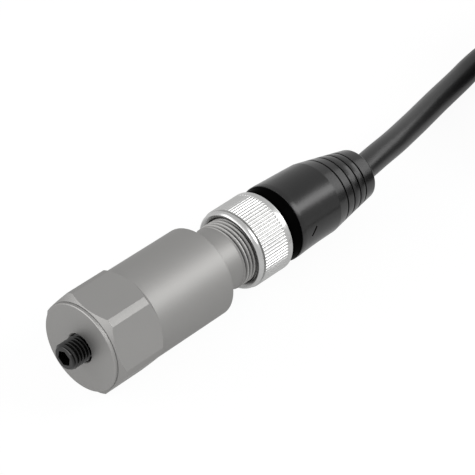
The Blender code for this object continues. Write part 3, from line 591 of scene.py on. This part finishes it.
class BuildFace(bpy.types.Operator):
    """Turn the front plate with its rim and the countersunk hole for the stud"""
    bl_idname = "sensor.build_face"
    bl_label = "Front plate"

    def execute(self, context):
        bolt_hole, pedestal, spigot, rim, stud_hole = 1.6, 4.6, 6.6, 8.0, 2.55
        bolt_hole_end, pedestal_back, spigot_back, rim_back = 7.6, 11.0, 4.0, 0.6
        face_edge, rim_bevel_end = 7.87, 0.13
        sink_edge, sink_end, stud_hole_end = 2.75, 0.2, 6.8
        build = bmesh.new()
        spin_outline(build, rounded([
            (0, bolt_hole_end), (bolt_hole, bolt_hole_end), (bolt_hole, pedestal_back),
            (pedestal, pedestal_back, 0.1), (pedestal, spigot_back), (spigot, spigot_back),
            (spigot, rim_back), (rim, rim_back), (rim, rim_bevel_end, 0.03), (face_edge, 0, 0.05),
            (sink_edge, 0, 0.03), (stud_hole, sink_end), (stud_hole, stud_hole_end),
            (0, stud_hole_end),
        ], closed=False), LARGE_FACETS)
        place_mesh(build)
        look = finishes["faced_steel_painted_lighter"]
        finish_mesh("front_plate", build, look, "sensor", ["base_plate"], sharp=24.0)
        return {"FINISHED"}


class BuildStud(bpy.types.Operator):
    """Cut the mounting stud with its thread and hexagon socket"""
    bl_idname = "sensor.build_stud"
    bl_label = "Mounting stud"

    def execute(self, context):
        sizes = context.scene.sensor_sizes
        shank = sizes.stud_diameter / 2 / MM
        tip = -sizes.stud_reach / MM
        bevel, tip_bevel, bevel_start, inner_end = 0.4, 0.38, 6.1, 6.5
        build = bmesh.new()
        spin_outline(build, rounded([
            (0, inner_end), (shank - bevel, inner_end), (shank, bevel_start),
            (shank, tip + bevel, 0.1), (shank - tip_bevel, tip, 0.12), (0, tip),
        ], closed=False), SMALL_FACETS)
        groove_depth, overrun, last_turn = 0.40, 0.95, 7.3
        groove = helix_cutter(
            sizes.stud_diameter, sizes.stud_pitch, groove_depth * MM,
            (tip - overrun) * MM, last_turn * MM, steps_per_turn=48,
        )
        key_flat, key_length, key_middle = 1.25, 3.5, tip + 0.75
        key_corner = key_flat * MM / math.cos(math.radians(30))
        socket = bmesh.new()
        bmesh.ops.create_cone(
            socket, cap_ends=True, segments=6, radius1=key_corner, radius2=key_corner,
            depth=key_length * MM, matrix=Matrix.Translation((0, 0, key_middle * MM)),
        )
        build = cut(build, groove, socket)
        place_mesh(build)
        look = finishes["black_steel"]
        finish_mesh("threaded_stud", build, look, "sensor", ["mounting_stud"], sharp=28.0)
        return {"FINISHED"}


# Pieces of the plug.


class BuildNut(bpy.types.Operator):
    """Turn the coupling nut and press its straight knurl"""
    bl_idname = "sensor.build_nut"
    bl_label = "Coupling nut"

    facets_per_groove = 8
    groove_sharpness = 1.3

    def execute(self, context):
        sizes = context.scene.plug_sizes
        outer = sizes.nut_diameter / 2 / MM
        crest, waist, ring = outer - 0.02, outer - 0.5, outer - 0.2
        shoulder, recess, bore, mouth = 4.7, 5.6, 6.15, 6.88
        dish_floor, dish_edge = 6.6, 6.75
        front, bore_start, ring_start = 35.2, 35.56, 35.64
        low, high, run_out = 36.42, 42.2, 0.12
        bore_end, recess_end, dish, back = 41.6, 42.7, 43.1, 43.38
        outline = rounded([
            (shoulder, recess_end), (shoulder, dish), (dish_floor, dish), (dish_edge, back),
            (outer, back, 0.28), (outer, high + 0.02, 0.05), (crest, high),
            (crest, high - run_out), (crest, low + run_out), (crest, low),
            (waist, low - 0.06, 0.03), (ring, low - 0.24, 0.06), (ring, ring_start, 0.35),
            (mouth, front, 0.16), (bore, bore_start), (bore, bore_end), (recess, bore_end),
            (recess, recess_end),
        ], closed=True)
        build = bmesh.new()
        spin_outline(build, outline, sizes.knurl_count * self.facets_per_groove)
        self.press_knurl(build, crest, low, high, sizes.knurl_depth, sizes.knurl_count)
        place_mesh(build)
        finish_mesh("knurled_nut", build, finishes["nickel"], "nut", ["coupling_nut"], sharp=30.0)
        return {"FINISHED"}

    def press_knurl(self, build, crest, low, high, depth, count):
        """Draws each groove in by the depth, running out at both ends of the band."""
        slack = 0.01
        first, last = (low + slack) * MM, (high - slack) * MM
        per_groove = self.facets_per_groove
        for vert in build.verts:
            radius = vert.co.xy.length
            if not first < vert.co.z < last or radius < (crest - slack) * MM:
                continue
            turn = math.atan2(vert.co.y, vert.co.x) / (2 * math.pi) * count
            phase = math.pi * round(turn * per_groove) / per_groove
            pressed = (1 - abs(math.sin(phase))) ** self.groove_sharpness
            vert.co.xy *= (radius - depth * pressed) / radius


class BuildCarrier(bpy.types.Operator):
    """Mould the contact carrier with its black collar"""
    bl_idname = "sensor.build_carrier"
    bl_label = "Contact carrier"

    def execute(self, context):
        core, collar, collar_nose, waist, flange, tip, tip_edge = 5.0, 7.0, 6.3, 4.3, 5.2, 4.1, 3.9
        back, collar_back, collar_side, collar_front = 49.5, 46.1, 44.2, 43.4
        flange_back, flange_front, tip_side, tip_front = 42.4, 41.9, 34.6, 34.4
        build = bmesh.new()
        spin_outline(build, rounded([
            (0, back), (core, back), (core, collar_back), (collar, collar_back, 0.05),
            (collar, collar_side, 0.5), (collar_nose, collar_front, 0.15), (waist, collar_front),
            (waist, flange_back), (flange, flange_back), (flange, flange_front),
            (tip, flange_front), (tip, tip_side), (tip_edge, tip_front), (0, tip_front),
        ], closed=False), SMALL_FACETS)
        build = cut(build, *(self.contact_hole(index) for index in range(4)))
        place_mesh(build)
        finish_mesh("carrier_collar", build, finishes["collar"], "plug", ["contact_carrier"])
        return {"FINISHED"}

    @staticmethod
    def contact_hole(index):
        """The cutter of one of the four holes that hold the socket contacts."""
        ring, radius, depth, middle = 2.75 * MM, 0.95 * MM, 20 * MM, 42.0 * MM
        angle = math.pi / 2 * (index + 0.5)
        place = (ring * math.cos(angle), ring * math.sin(angle), middle)
        hole = bmesh.new()
        bmesh.ops.create_cone(
            hole, cap_ends=True, segments=24, radius1=radius, radius2=radius, depth=depth,
            matrix=Matrix.Translation(place),
        )
        return hole


class BuildGrip(bpy.types.Operator):
    """Mould the soft grip, its tapering tail and the grooves of the strain relief"""
    bl_idname = "sensor.build_grip"
    bl_label = "Grip and strain relief"

    def execute(self, context):
        sizes = context.scene.plug_sizes
        grip = sizes.grip_diameter / 2 / MM
        bore, cable_hole, tail_end = 5.2, 2.75, 4.79
        front, widest_end, bore_end, back = 46.18, 47.2, 51.6, 68.1
        waisted = [(7.08, 49.5), (7.0, 52.0), (6.94, 54.5), (6.89, 56.5, 0.12)]
        grooves = [corner for station in (59.0, 61.1, 63.1, 64.9) for corner in self.groove(station)]
        build = bmesh.new()
        spin_outline(build, rounded([
            (bore, front), (grip, front, 0.12), (grip, widest_end, 0.3), *waisted, *grooves,
            (tail_end, back, 0.55), (cable_hole, back, 0.1), (cable_hole, bore_end),
            (bore, bore_end),
        ], closed=True), LARGE_FACETS)
        self.hang(build, sizes.sag)
        build = cut(build, self.mark())
        place_mesh(build)
        finish_mesh("moulded_grip", build, finishes["grip"], "plug", ["overmould"], sharp=30.0)
        return {"FINISHED"}

    def groove(self, station):
        """The four corners of a groove round the tail, its lips slightly rounded."""
        half, slant, depth, lip = 0.17, 0.03, 0.5, 0.06
        low, high = station - half, station + half
        return [
            (self.tail_radius(place) - drop, place, fillet) for place, drop, fillet in (
                (low, 0, lip), (low + slant, depth, 0), (high - slant, depth, 0), (high, 0, lip),
            )
        ]

    @staticmethod
    def mark():
        """The cutter of the short slanted mark that shows where the plug's key is."""
        low, high = Vector((7.02, -0.61, 48.65)), Vector((6.77, -1.98, 49.98))
        width, depth = 0.42 * MM, 0.6 * MM
        middle = (low + high) / 2
        along = (high - low).normalized()
        outward = Vector((middle.x, middle.y, 0)).normalized()
        side = outward.cross(along).normalized()
        axes = Matrix((along, side, along.cross(side))).transposed().to_4x4()
        build = bmesh.new()
        bmesh.ops.create_cube(
            build, size=1.0, matrix=Matrix.Translation(middle * MM) @ axes
            @ Matrix.Diagonal(((high - low).length * MM, width, depth, 1)),
        )
        return build

    @staticmethod
    def tail_radius(station):
        """The straight taper of the tail, between its wide and its narrow end."""
        wide, wide_at, narrow, narrow_at = 6.8, 57.0, 4.85, 67.7
        return wide + (narrow - wide) * (station - wide_at) / (narrow_at - wide_at)

    @staticmethod
    def hang(build, sag):
        """Bends the tail off the axis, ever more towards its end, where it is off by the sag."""
        straight_end, bent_length, growth = 51.0, 17.1, 1.5
        for vert in build.verts:
            past = max(0.0, (vert.co.z / MM - straight_end) / bent_length)
            vert.co += SAG_SIDE * sag * past ** growth


# The cable, its coil and its cut end.

# Points of the cable in millimetres from the centre of the mounting face, along the object's axes.
PLUG_END = (0.47, 68.1, -0.33)
RUN_FROM_PLUG = [
    (0, 52.2, 0), (0.10, 57.0, -0.07), (0.26, 62.0, -0.17), PLUG_END,
    (0.20, 71.0, -0.50), (-0.66, 75.9, -1.00), (-1.75, 81.9, -1.85), (-3.04, 87.4, -2.80),
    (-4.13, 91.8, -3.60), (-5.40, 96.9, -4.40), (-6.60, 101.9, -5.10), (-7.60, 106.7, -5.60),
    (-8.40, 111.3, -5.75), (-9.00, 115.6, -5.40), (-9.32, 120.8, -4.90), (-9.40, 129.5, -4.65),
]
RUN_TO_END = [
    (52.4, 131.0, 0.25), (52.4, 120.8, -0.2), (52.0, 110.0, -3.0), (51.2, 100.0, -5.3),
    (50.0, 92.0, -5.75), (50.0, 88.0, -5.75),
]
COIL_CENTRE = (21.5, 139.0)
# Radii and heights of the coil's cells, and the (column, layer) of each turn in the order of winding.
COLUMNS = (21.1, 26.0, 30.9)
LAYERS = (-4.6, 0.3, 5.2, 10.1)
WINDING = [(2, 0), (1, 0), (0, 0), (0, 1), (1, 1), (1, 2), (0, 2), (0, 3), (1, 3), (2, 3),
           (2, 2), (2, 1)]
TURNS = 11.5
# The share of a turn in which the cable steps over to its next cell.
STEP_OVER = 0.22
# Colour of each core, then in millimetres where it leaves the jacket and where it ends.
CORES = {
    "brown": ((0.16, 0.07, 0.03), (48.5, -4.9), 44.0, 66.5),
    "white": ((0.80, 0.80, 0.78), (49.7, -6.9), 48.0, 64.0),
    "blue": ((0.03, 0.10, 0.36), (51.2, -5.2), 55.5, 67.0),
    "black": ((0.02, 0.02, 0.02), (50.0, -3.7), 51.8, 65.0),
}
# Radius, station and fillet along a ferrule, from its tip to the mouth that holds the core.
FERRULE_OUTLINE = [
    (0, -6.3), (0.38, -6.3, 0.05), (0.63, -6.0, 0.05), (0.72, 0.0), (1.1, 1.2, 0.1),
    (1.1, 3.5, 0.06), (0.93, 3.5, 0.03), (0.93, 0.9), (0, 0.9),
]
FERRULE_FACETS = 32


def smooth_line(points, per_span):
    """Points on a Catmull-Rom curve through the given ones."""
    given = [Vector(point) for point in points]
    given = [2 * given[0] - given[1], *given, 2 * given[-1] - given[-2]]
    line = []
    for p0, p1, p2, p3 in zip(given, given[1:], given[2:], given[3:]):
        for step in range(per_span):
            t = step / per_span
            line.append(
                0.5 * (2 * p1 + (p2 - p0) * t + (2 * p0 - 5 * p1 + 4 * p2 - p3) * t ** 2
                       + (3 * p1 - p0 - 3 * p2 + p3) * t ** 3)
            )
    line.append(given[-2])
    return line


def coil_line(per_turn=40):
    """The wound part: each turn lies in its own cell and steps over to the next at its end."""
    cells = [Vector((COLUMNS[column], LAYERS[layer])) for column, layer in WINDING]
    line = []
    for index in range(int(TURNS * per_turn) + 1):
        turn = index / per_turn
        here = min(int(turn), len(cells) - 1)
        following = min(here + 1, len(cells) - 1)
        blend = max(0.0, (turn - here - (1 - STEP_OVER)) / STEP_OVER)
        blend = blend * blend * (3 - 2 * blend)
        radius, height = cells[here].lerp(cells[following], blend)
        angle = math.pi - 2 * math.pi * turn
        across, along = COIL_CENTRE
        line.append(Vector((
            across + radius * math.cos(angle), along + radius * math.sin(angle), height,
        )))
    return line


def tube(name, line, diameter, look, body, replaced, resolution=6):
    """A round wire along a line of points in metres."""
    curve = bpy.data.curves.new(name, "CURVE")
    curve.dimensions = "3D"
    curve.bevel_depth = diameter / 2
    curve.bevel_resolution = resolution
    curve.use_fill_caps = True
    spline = curve.splines.new("POLY")
    spline.points.add(len(line) - 1)
    spline.use_smooth = True
    for knot, point in zip(spline.points, line):
        knot.co = (*point, 1)
    return finish_object(name, curve, look, body, replaced)


class BuildCable(bpy.types.Operator):
    """Run the cable from the plug into its coil and out to its cut end"""
    bl_idname = "sensor.build_cable"
    bl_label = "Cable"

    def execute(self, context):
        sizes = context.scene.cable_sizes
        coil = coil_line()
        run = smooth_line([*RUN_FROM_PLUG, coil[0]], per_span=3)[:-1] + coil
        run += smooth_line([coil[-1], *RUN_TO_END], per_span=4)[1:]
        line = [from_face(point) for point in run]
        cable = tube(
            "signal_cable", line, sizes.diameter, finishes["jacket"], "plug",
            ["cable", "cable_coil", "cable_tail"],
        )
        ties = [
            self.strap("front_strap", "coil_tie_front", math.pi),
            self.strap("rear_strap", "coil_tie_rear", 0),
        ]
        ends = self.cores(sizes.core_diameter)
        return {"FINISHED"}

    @staticmethod
    def strap(name, node_name, turn):
        """A tie round the coil: a flat band with rounded corners and a lock head on top."""
        cable_radius, slack, corner = 2.45, 0.3, 2.0
        band_width, band_thickness, head_bevel = 3.6 * MM, 0.9 * MM, 0.4 * MM
        head_rise, head_size = 1.9, Vector((4.6, 4.8, 2.4)) * MM
        inner, floor = COLUMNS[0] - cable_radius - slack, LAYERS[0] - cable_radius - slack
        outer, top = COLUMNS[-1] + cable_radius + slack, LAYERS[-1] + cable_radius + slack
        build = bmesh.new()
        corners = [(outer, top), (inner, top), (inner, floor), (outer, floor)]
        loop = rounded([(x, y, corner) for x, y in corners], closed=True, arc_steps=8)
        verts = [build.verts.new((0, y, z)) for y, z in loop]
        edges = [build.edges.new(pair) for pair in zip(verts, verts[1:] + verts[:1])]
        grown = bmesh.ops.extrude_edge_only(build, edges=edges)["geom"]
        far_side = [item for item in grown if isinstance(item, bmesh.types.BMVert)]
        bmesh.ops.translate(build, vec=(band_width, 0, 0), verts=far_side)
        bmesh.ops.translate(build, vec=(-band_width / 2, 0, 0), verts=build.verts)
        bmesh.ops.recalc_face_normals(build, faces=build.faces)
        middle = Vector((0, (inner + outer) / 2 * MM, 0))
        if sum(face.normal.dot(face.calc_center_median() - middle) for face in build.faces) < 0:
            bmesh.ops.reverse_faces(build, faces=build.faces)
        bmesh.ops.solidify(build, geom=build.faces, thickness=-band_thickness)
        head_place = middle + Vector((0, 0, (top + head_rise) * MM))
        head = bmesh.ops.create_cube(
            build, size=1.0, matrix=Matrix.Translation(head_place)
            @ Matrix.Diagonal((*head_size, 1)),
        )["verts"]
        head_edges = {edge for vert in head for edge in vert.link_edges}
        bmesh.ops.bevel(
            build, geom=list(head_edges), offset=head_bevel, offset_type="OFFSET", segments=3,
            profile=0.5, affect="EDGES", material=-1,
        )
        centre = from_face((*COIL_CENTRE, 0))
        place_mesh(build, Matrix.Translation(centre) @ Matrix.Rotation(turn, 4, "Z"))
        return finish_mesh(name, build, finishes["tie"], "plug", [node_name])

    @staticmethod
    def cores(diameter):
        """Four insulated cores fanned out of the cut jacket, each in a crimped ferrule."""
        jacket_end, lead_in, lying, rest_height, insertion = 87.7, 4.0, 6.0, -7.0, 1.2
        early, halfway_out, halfway_down = 0.1, 0.6, 0.75
        made = []
        for tint, (tone, (x, z), far_x, end) in CORES.items():
            away, fall = far_x - x, z - rest_height
            route = [
                (x, jacket_end, z), (x + early * away, jacket_end - lead_in, z - early * fall),
                (x + halfway_out * away, (jacket_end + end) / 2, z - halfway_down * fall),
                (far_x, end + lying, rest_height), (far_x, end, rest_height),
            ]
            look = Finish(f"core_{tint}", tone, roughness=0.42)
            look = look.mottle(scale=600, amount=0.1, swing=0.04).grain(scale=4000, depth=0.000003)
            line = [from_face(point) for point in smooth_line(route, per_span=6)]
            made.append(tube(
                f"lead_{tint}", line, diameter, look.material, "plug", [f"core_{tint}"], resolution=4,
            ))
            build = bmesh.new()
            spin_outline(build, rounded(FERRULE_OUTLINE, closed=False), FERRULE_FACETS)
            tip = from_face((far_x, end - insertion, rest_height))
            place_mesh(build, Matrix.Translation(tip) @ Matrix.Rotation(-math.pi / 2, 4, "X"))
            made.append(
                finish_mesh(f"crimp_{tint}", build, finishes["tin"], "plug", [f"ferrule_{tint}"])
            )
        return made


# Inner pieces and the stage.


class DressInside(bpy.types.Operator):
    """Give each piece inside the housing and the plug its own material"""
    bl_idname = "sensor.dress_inside"
    bl_label = "Inner pieces"

    looks = {
        "insulator": "ceramic", "piezo_ring_front": "piezo", "piezo_ring_rear": "piezo",
        "electrode": "copper", "signal_lead": "copper", "seismic_mass": "mass",
        "preload_bolt": "black_steel", "circuit_board": "laminate", "amplifier_chip": "insert",
        "connector_insert": "insert", "plug_seal": "rubber",
        **{f"contact_pin_{n}": "gold" for n in range(1, 5)},
        **{f"socket_contact_{n}": "gold" for n in range(1, 5)},
    }

    def execute(self, context):
        for name, look in self.looks.items():
            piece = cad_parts[name]
            for slot in piece.material_slots:
                slot.material = finishes[look]
        return {"FINISHED"}


CAMERA_LENS = 164.25
# Millimetres from the mounting face, and the camera's turn about X, Y and Z in degrees.
CAMERA_PLACE = (165.848, -182.079, 246.158)
CAMERA_TURN = (48.0898, -6.3383, 42.7828)
# Name, place in metres, width, height and power of each soft lamp. All face the sensor.
LAMPS = (
    ("rear_softbox", (0.275, 0.353, 0.408), 0.23, 0.28, 1.0),
    ("front_softbox", (-0.279, -0.728, 0.45), 1.50, 0.42, 4.7),
    ("back_softbox", (0.13, 0.63, 0.25), 0.46, 0.24, 0.68),
)
FLOOR_COLOUR = (0.92, 0.92, 0.92, 1)
FLOOR_HALF = 2.5
FLOOR_DROP = 0.00004
# The floor's own white, and the share of it that the camera and the mirroring surfaces see.
FLOOR_GLOW = 1.03
GLOW_TO_CAMERA = 0.92
GLOW_TO_MIRRORS = 0.45
# The world's strength as light, and as the camera and the mirroring surfaces see it.
WORLD_LIGHT = 0.50
WORLD_SEEN = 1.0


class BuildStage(bpy.types.Operator):
    """Set the camera, the pale floor and the soft studio light"""
    bl_idname = "sensor.build_stage"
    bl_label = "Stage"

    def execute(self, context):
        self.camera(context.scene)
        self.floor()
        self.world(context.scene)
        for lamp in LAMPS:
            self.lamp(*lamp)
        context.scene.view_settings.view_transform = "Standard"
        return {"FINISHED"}

    @staticmethod
    def camera(scene):
        data = bpy.data.cameras.new("studio_camera")
        data.sensor_width = 36.0
        data.lens = CAMERA_LENS
        data.clip_start = 0.01
        camera = to_scene("studio_camera", data)
        turn = Euler([math.radians(angle) for angle in CAMERA_TURN])
        camera.matrix_world = Matrix.LocRotScale(from_face(CAMERA_PLACE), turn, None)
        scene.camera = camera

    @staticmethod
    def floor():
        build = bmesh.new()
        bmesh.ops.create_grid(build, x_segments=1, y_segments=1, size=FLOOR_HALF)
        bmesh.ops.translate(build, vec=(0, 0, -FLOOR_DROP), verts=build.verts)
        floor = to_scene("studio_floor", to_mesh("studio_floor", build))
        look = bpy.data.materials.new("studio_floor")
        look.use_nodes = True
        tree = look.node_tree
        tree.nodes.clear()
        link = tree.links.new
        out = node(tree, "ShaderNodeOutputMaterial")
        matte = node(tree, "ShaderNodeBsdfDiffuse", {"Color": FLOOR_COLOUR})
        glow = node(tree, "ShaderNodeEmission", {"Strength": FLOOR_GLOW})
        blend = node(tree, "ShaderNodeMixShader")
        rays = node(tree, "ShaderNodeLightPath")
        direct = node(tree, "ShaderNodeMath", {1: GLOW_TO_CAMERA}, operation="MULTIPLY")
        mirrored = node(tree, "ShaderNodeMath", {1: GLOW_TO_MIRRORS}, operation="MULTIPLY")
        share = node(tree, "ShaderNodeMath", operation="MAXIMUM")
        link(rays.outputs["Is Camera Ray"], direct.inputs[0])
        link(BuildStage.seen(tree, rays), mirrored.inputs[0])
        link(direct.outputs[0], share.inputs[0])
        link(mirrored.outputs[0], share.inputs[1])
        link(share.outputs[0], blend.inputs[0])
        link(matte.outputs[0], blend.inputs[1])
        link(glow.outputs[0], blend.inputs[2])
        link(blend.outputs[0], out.inputs["Surface"])
        floor.data.materials.append(look)

    @staticmethod
    def seen(tree, rays):
        """1 for rays that come from the camera or off a mirror-like or clear surface."""
        first = node(tree, "ShaderNodeMath", operation="MAXIMUM")
        second = node(tree, "ShaderNodeMath", operation="MAXIMUM")
        tree.links.new(rays.outputs["Is Camera Ray"], first.inputs[0])
        tree.links.new(rays.outputs["Is Glossy Ray"], first.inputs[1])
        tree.links.new(first.outputs[0], second.inputs[0])
        tree.links.new(rays.outputs["Is Transmission Ray"], second.inputs[1])
        return second.outputs[0]

    @staticmethod
    def world(scene):
        world = bpy.data.worlds.new("studio_world")
        world.use_nodes = True
        scene.world = world
        tree = world.node_tree
        tree.nodes.clear()
        link = tree.links.new
        out = node(tree, "ShaderNodeOutputWorld")
        soft = node(tree, "ShaderNodeBackground", {"Strength": WORLD_LIGHT})
        white = node(tree, "ShaderNodeBackground", {"Strength": WORLD_SEEN})
        blend = node(tree, "ShaderNodeMixShader")
        rays = node(tree, "ShaderNodeLightPath")
        link(BuildStage.seen(tree, rays), blend.inputs[0])
        link(soft.outputs[0], blend.inputs[1])
        link(white.outputs[0], blend.inputs[2])
        link(blend.outputs[0], out.inputs["Surface"])

    @staticmethod
    def lamp(name, place, width, height, power):
        data = bpy.data.lights.new(name, "AREA")
        data.shape = "RECTANGLE"
        data.size = width
        data.size_y = height
        data.energy = power
        lamp = to_scene(name, data)
        lamp.location = place
        lamp.rotation_euler = Vector(place).to_track_quat("Z", "Y").to_euler()


class SENSOR_PT_panel(bpy.types.Panel):
    """Lists the sizes, the finishes and the steps in the sidebar"""
    bl_label = "Vibration sensor"
    bl_idname = "SENSOR_PT_panel"
    bl_space_type = "VIEW_3D"
    bl_region_type = "UI"
    bl_category = "Sensor"

    def draw(self, context):
        for group in GROUPS:
            settings = getattr(context.scene, group)
            column = self.layout.column()
            for name in settings.__annotations__:
                column.prop(settings, name)
        for operator in OPERATORS:
            self.layout.operator(operator.bl_idname)


OPERATORS = (
    BuildStage, BuildCable, BuildBody, BuildFace, BuildStud, BuildNut, BuildCarrier, BuildGrip,
    DressInside,
)
GROUPS = {
    "sensor_sizes": SensorSizes, "plug_sizes": PlugSizes, "cable_sizes": CableSizes,
    "sensor_finishes": Finishes,
}


def register():
    for kind in (*GROUPS.values(), *OPERATORS, SENSOR_PT_panel):
        bpy.utils.register_class(kind)
    for name, kind in GROUPS.items():
        setattr(bpy.types.Scene, name, bpy.props.PointerProperty(type=kind))


def unregister():
    for name in GROUPS:
        delattr(bpy.types.Scene, name)
    for kind in reversed((*GROUPS.values(), *OPERATORS, SENSOR_PT_panel)):
        bpy.utils.unregister_class(kind)


def main():
    register()
    finishes.update(make_finishes(bpy.context.scene.sensor_finishes))
    bpy.ops.sensor.build_stage()
    bpy.ops.sensor.build_cable()
    bpy.ops.sensor.build_body()
    bpy.ops.sensor.build_face()
    bpy.ops.sensor.build_stud()
    bpy.ops.sensor.build_nut()
    bpy.ops.sensor.build_carrier()
    bpy.ops.sensor.build_grip()
    bpy.ops.sensor.dress_inside()


if __name__ == "__main__":
    main()
